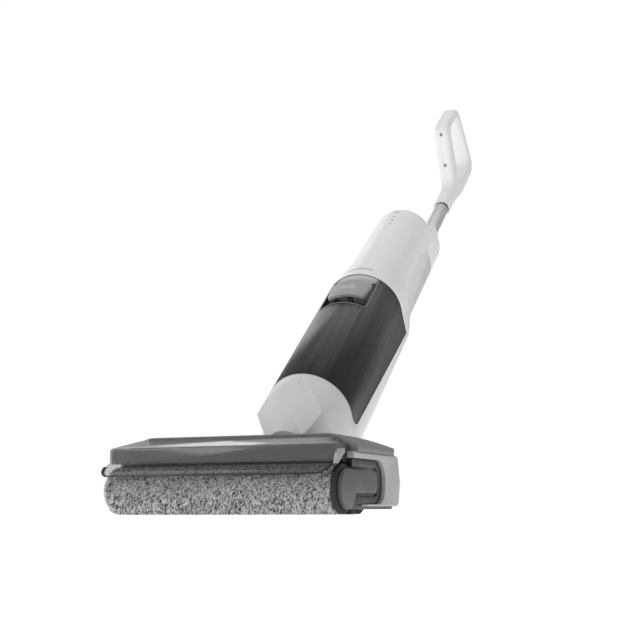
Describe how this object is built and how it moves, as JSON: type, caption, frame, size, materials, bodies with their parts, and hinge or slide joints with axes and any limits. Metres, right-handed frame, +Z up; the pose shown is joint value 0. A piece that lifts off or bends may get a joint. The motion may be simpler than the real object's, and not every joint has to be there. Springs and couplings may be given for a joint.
{
  "type": "wet dry floor scrubber",
  "caption": "Upright powered floor scrubber: wide roller head with smoked cover, tilting neck, leaning body with lift-out smoked tank, rear water tank, tube and closed loop handle.",
  "frame": {"origin": "on the floor, under the middle of the object's box, in the working lean", "axes": "+X to the machine's right-hand side panel (the user stands behind, at +Y), +Y from the roller towards the handle, +Z up"},
  "size_m": [0.27, 0.9762, 0.6969],
  "materials": {
    "white_shell": "satin moulded shell",
    "pale_shell": "fine matte moulding",
    "mid_shell": "fine matte moulding",
    "dark_plastic": "moulded, satin",
    "smoked_clear": "clear smoked, polished",
    "milky_clear": "clear frosted",
    "satin_tube": "satin",
    "steel": "turned",
    "pile": "short fleecy pile",
    "rubber": "moulded",
    "filter_media": "pleated felt",
    "contact_metal": "plated",
    "circuit": "laminate",
    "display": "polished"
  },
  "bodies": {
    "body": {"chin_housing": "white_shell", "spine_housing": "white_shell", "upper_housing": "white_shell", "display_lens": "display", "tube_housing": "white_shell", "handle_tube": "satin_tube", "tube_ring": "dark_plastic", "handle_loop": "white_shell", "handle_screws": "steel", "suction_motor": "steel", "fan_shroud": "dark_plastic", "battery_pack": "steel", "control_board": "circuit", "water_pump": "dark_plastic", "charging_contacts": "contact_metal", "swivel_bush": "dark_plastic"},
    "neck": {"neck_yoke": "dark_plastic", "neck_hose": "rubber"},
    "head": {"head_base": "dark_plastic", "suction_duct": "dark_plastic", "pivot_bracket": "dark_plastic", "pivot_pins": "steel", "head_top_cover": "mid_shell", "scraper_blade": "rubber", "spray_bar": "dark_plastic", "floor_lip": "rubber", "corner_feet": "rubber", "right_side_panel": "pale_shell", "recess_plate": "dark_plastic", "left_side_panel": "pale_shell", "roller_motor_can": "steel", "roller_gearbox": "dark_plastic", "wheel_axles": "steel"},
    "cartridge": {"end_cap": "mid_shell", "end_seal": "rubber", "roller_bearing": "steel"},
    "roller": {"roller_core": "dark_plastic", "roller_pile": "pile"},
    "drive": {"drive_hub": "dark_plastic"},
    "rotor": {"roller_motor_rotor": "steel"},
    "left_wheel_set": {"left_wheel": "dark_plastic", "left_wheel_tread": "rubber"},
    "right_wheel_set": {"right_wheel": "dark_plastic", "right_wheel_tread": "rubber"},
    "cover": {"roller_cover": "smoked_clear", "cover_trim": "dark_plastic", "cover_clip": "pale_shell"},
    "fan": {"impeller": "dark_plastic"},
    "tank": {"dirty_tank": "smoked_clear", "tank_lid": "dark_plastic", "filter_cartridge": "filter_media", "inlet_pipe": "milky_clear", "tank_baffle": "milky_clear", "latch_spring": "steel"},
    "latch": {"tank_latch": "pale_shell"},
    "float": {"tank_float": "pale_shell"},
    "clean_tank": {"clean_water_tank": "milky_clear"},
    "cap": {"clean_tank_cap": "dark_plastic"},
    "power": {"power_button": "mid_shell"},
    "mode": {"mode_button": "mid_shell"}
  },
  "joints": [
    {"name": "neck_swivel", "type": "hinge", "parent": "body", "child": "neck", "pos_m": [0, -0.32, 0.062], "axis": [0, 0.7771, 0.6293], "range_deg": [-20, 20]},
    {"name": "head_pitch", "type": "hinge", "parent": "neck", "child": "head", "pos_m": [0, -0.32, 0.062], "axis": [1, 0, 0], "range_deg": [-51, 10]},
    {"name": "roller_pull", "type": "slide", "parent": "head", "child": "cartridge", "axis": [1, 0, 0], "range_m": [0, 0.27]},
    {"name": "roller_spin", "type": "hinge", "parent": "cartridge", "child": "roller", "pos_m": [0, -0.46, 0.025], "axis": [1, 0, 0], "continuous": true},
    {"name": "hub_spin", "type": "hinge", "parent": "head", "child": "drive", "pos_m": [0, -0.46, 0.025], "axis": [1, 0, 0], "continuous": true},
    {"name": "rotor_spin", "type": "hinge", "parent": "head", "child": "rotor", "pos_m": [0, -0.46, 0.025], "axis": [1, 0, 0], "continuous": true},
    {"name": "left_wheel_spin", "type": "hinge", "parent": "head", "child": "left_wheel_set", "pos_m": [-0.087, -0.33, 0.02], "axis": [1, 0, 0], "continuous": true},
    {"name": "right_wheel_spin", "type": "hinge", "parent": "head", "child": "right_wheel_set", "pos_m": [0.087, -0.33, 0.02], "axis": [1, 0, 0], "continuous": true},
    {"name": "cover_lift", "type": "slide", "parent": "head", "child": "cover", "axis": [0, 0, 1], "range_m": [0, 0.05]},
    {"name": "fan_spin", "type": "hinge", "parent": "body", "child": "fan", "pos_m": [0, 0.00207, 0.31895], "axis": [0, 0.7771, 0.6293], "continuous": true},
    {"name": "tank_pull", "type": "slide", "parent": "body", "child": "tank", "axis": [0, -0.5406, 0.8413], "range_m": [0, 0.12]},
    {"name": "latch_press", "type": "slide", "parent": "tank", "child": "latch", "axis": [0, 0.6293, -0.7771], "range_m": [0, 0.002], "stiffness_N_per_m": 900},
    {"name": "float_rise", "type": "slide", "parent": "tank", "child": "float", "axis": [0, 0.7771, 0.6293], "range_m": [0, 0.09]},
    {"name": "clean_tank_pull", "type": "slide", "parent": "body", "child": "clean_tank", "axis": [0, 0.6293, -0.7771], "range_m": [0, 0.1]},
    {"name": "cap_turn", "type": "hinge", "parent": "clean_tank", "child": "cap", "pos_m": [0, 0.12207, 0.3106], "axis": [0, 0.6293, -0.7771], "range_deg": [0, 90]},
    {"name": "power_press", "type": "slide", "parent": "body", "child": "power", "axis": [0, -0.6386, -0.7695], "range_m": [0, 0.0012], "stiffness_N_per_m": 500},
    {"name": "mode_press", "type": "slide", "parent": "body", "child": "mode", "axis": [0, -0.6386, -0.7695], "range_m": [0, 0.0012], "stiffness_N_per_m": 500}
  ],
  "couplings": [
    {"joint": "hub_spin", "follows": "roller_spin", "ratio": 1},
    {"joint": "rotor_spin", "follows": "roller_spin", "ratio": 6}
  ]
}
